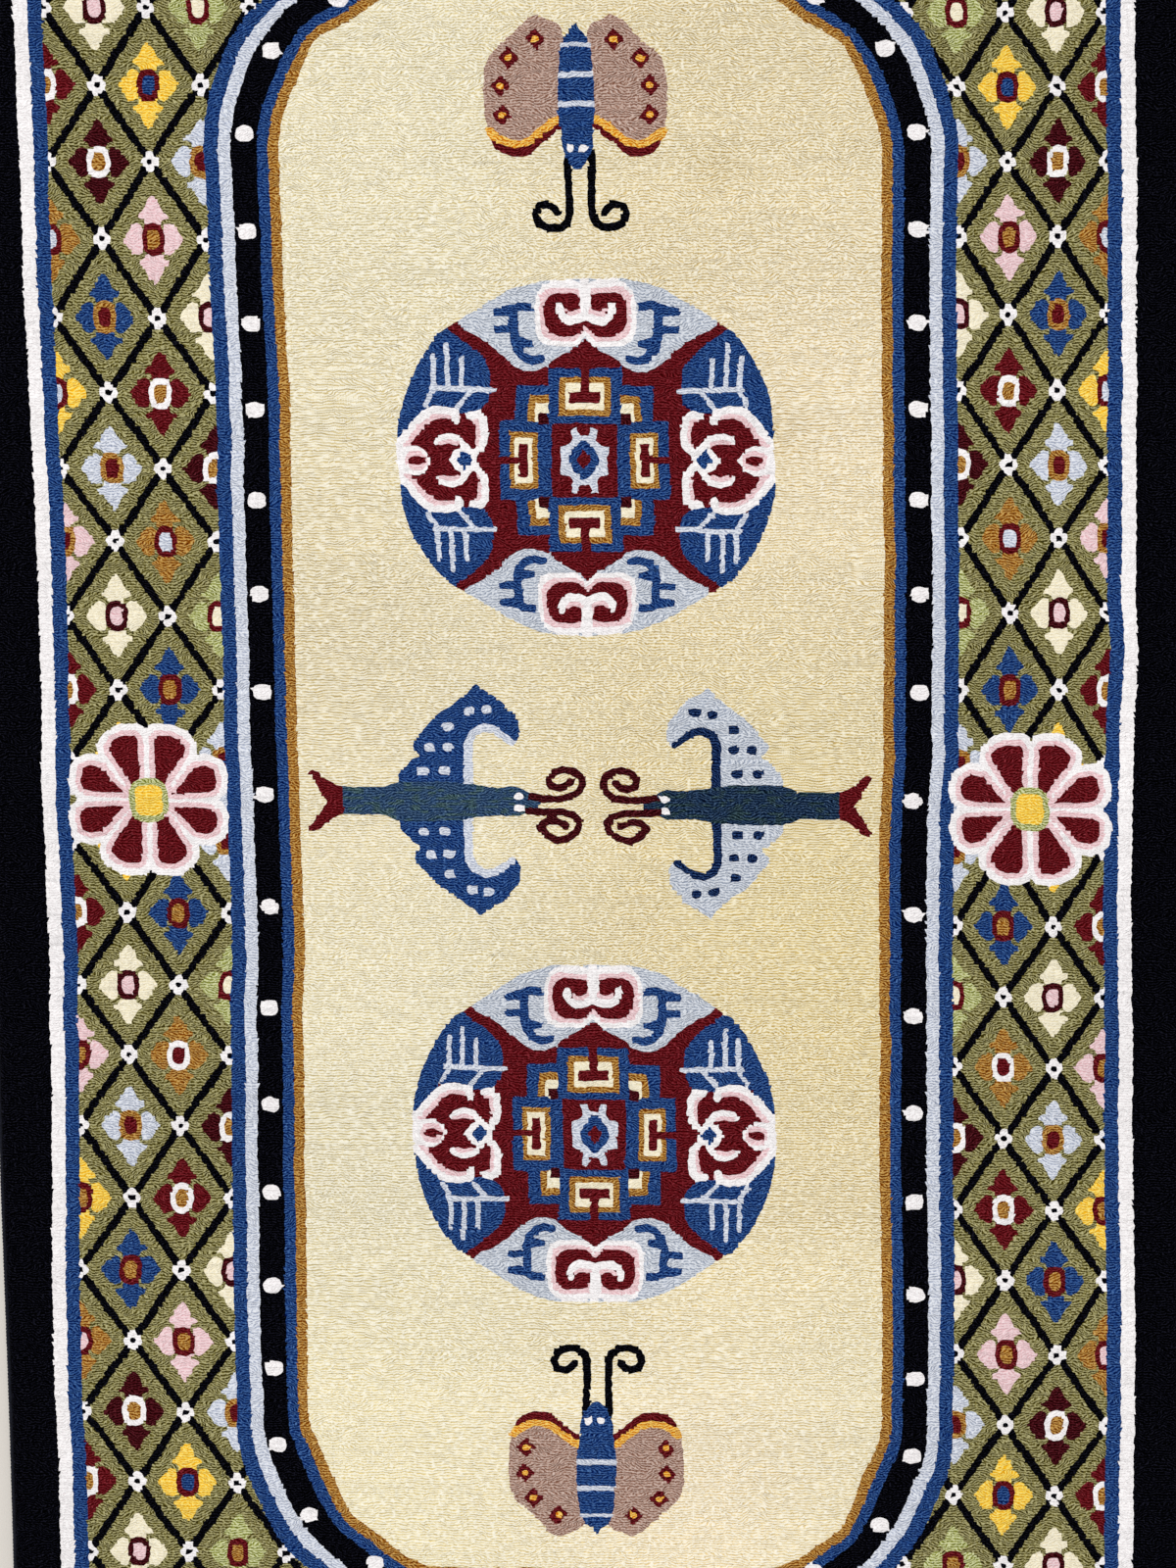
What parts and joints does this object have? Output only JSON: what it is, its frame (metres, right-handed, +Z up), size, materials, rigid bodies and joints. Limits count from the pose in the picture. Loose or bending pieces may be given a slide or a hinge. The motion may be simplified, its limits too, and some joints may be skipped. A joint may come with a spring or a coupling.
{
  "type": "chinese art deco rug",
  "caption": "Flat hand-knotted wool pile rug, a long rectangle with a patterned pile face, a flat woven back and an overcast cord down each long side.",
  "frame": {"origin": "middle of the rug's flat underside, on the surface it rests on", "axes": "+Z up out of the pile, +Y along the rug's length, +X across its width"},
  "size_m": [0.76, 1.4199, 0.0125],
  "materials": {
    "wool_pile": "cut wool pile in cream, navy, royal blue, light blue, gold, olive and dark red",
    "cord_wool": "overcast navy-black wool"
  },
  "bodies": {
    "root": {"rug": "wool_pile", "selvedge_left": "cord_wool", "selvedge_right": "cord_wool"}
  },
  "joints": []
}
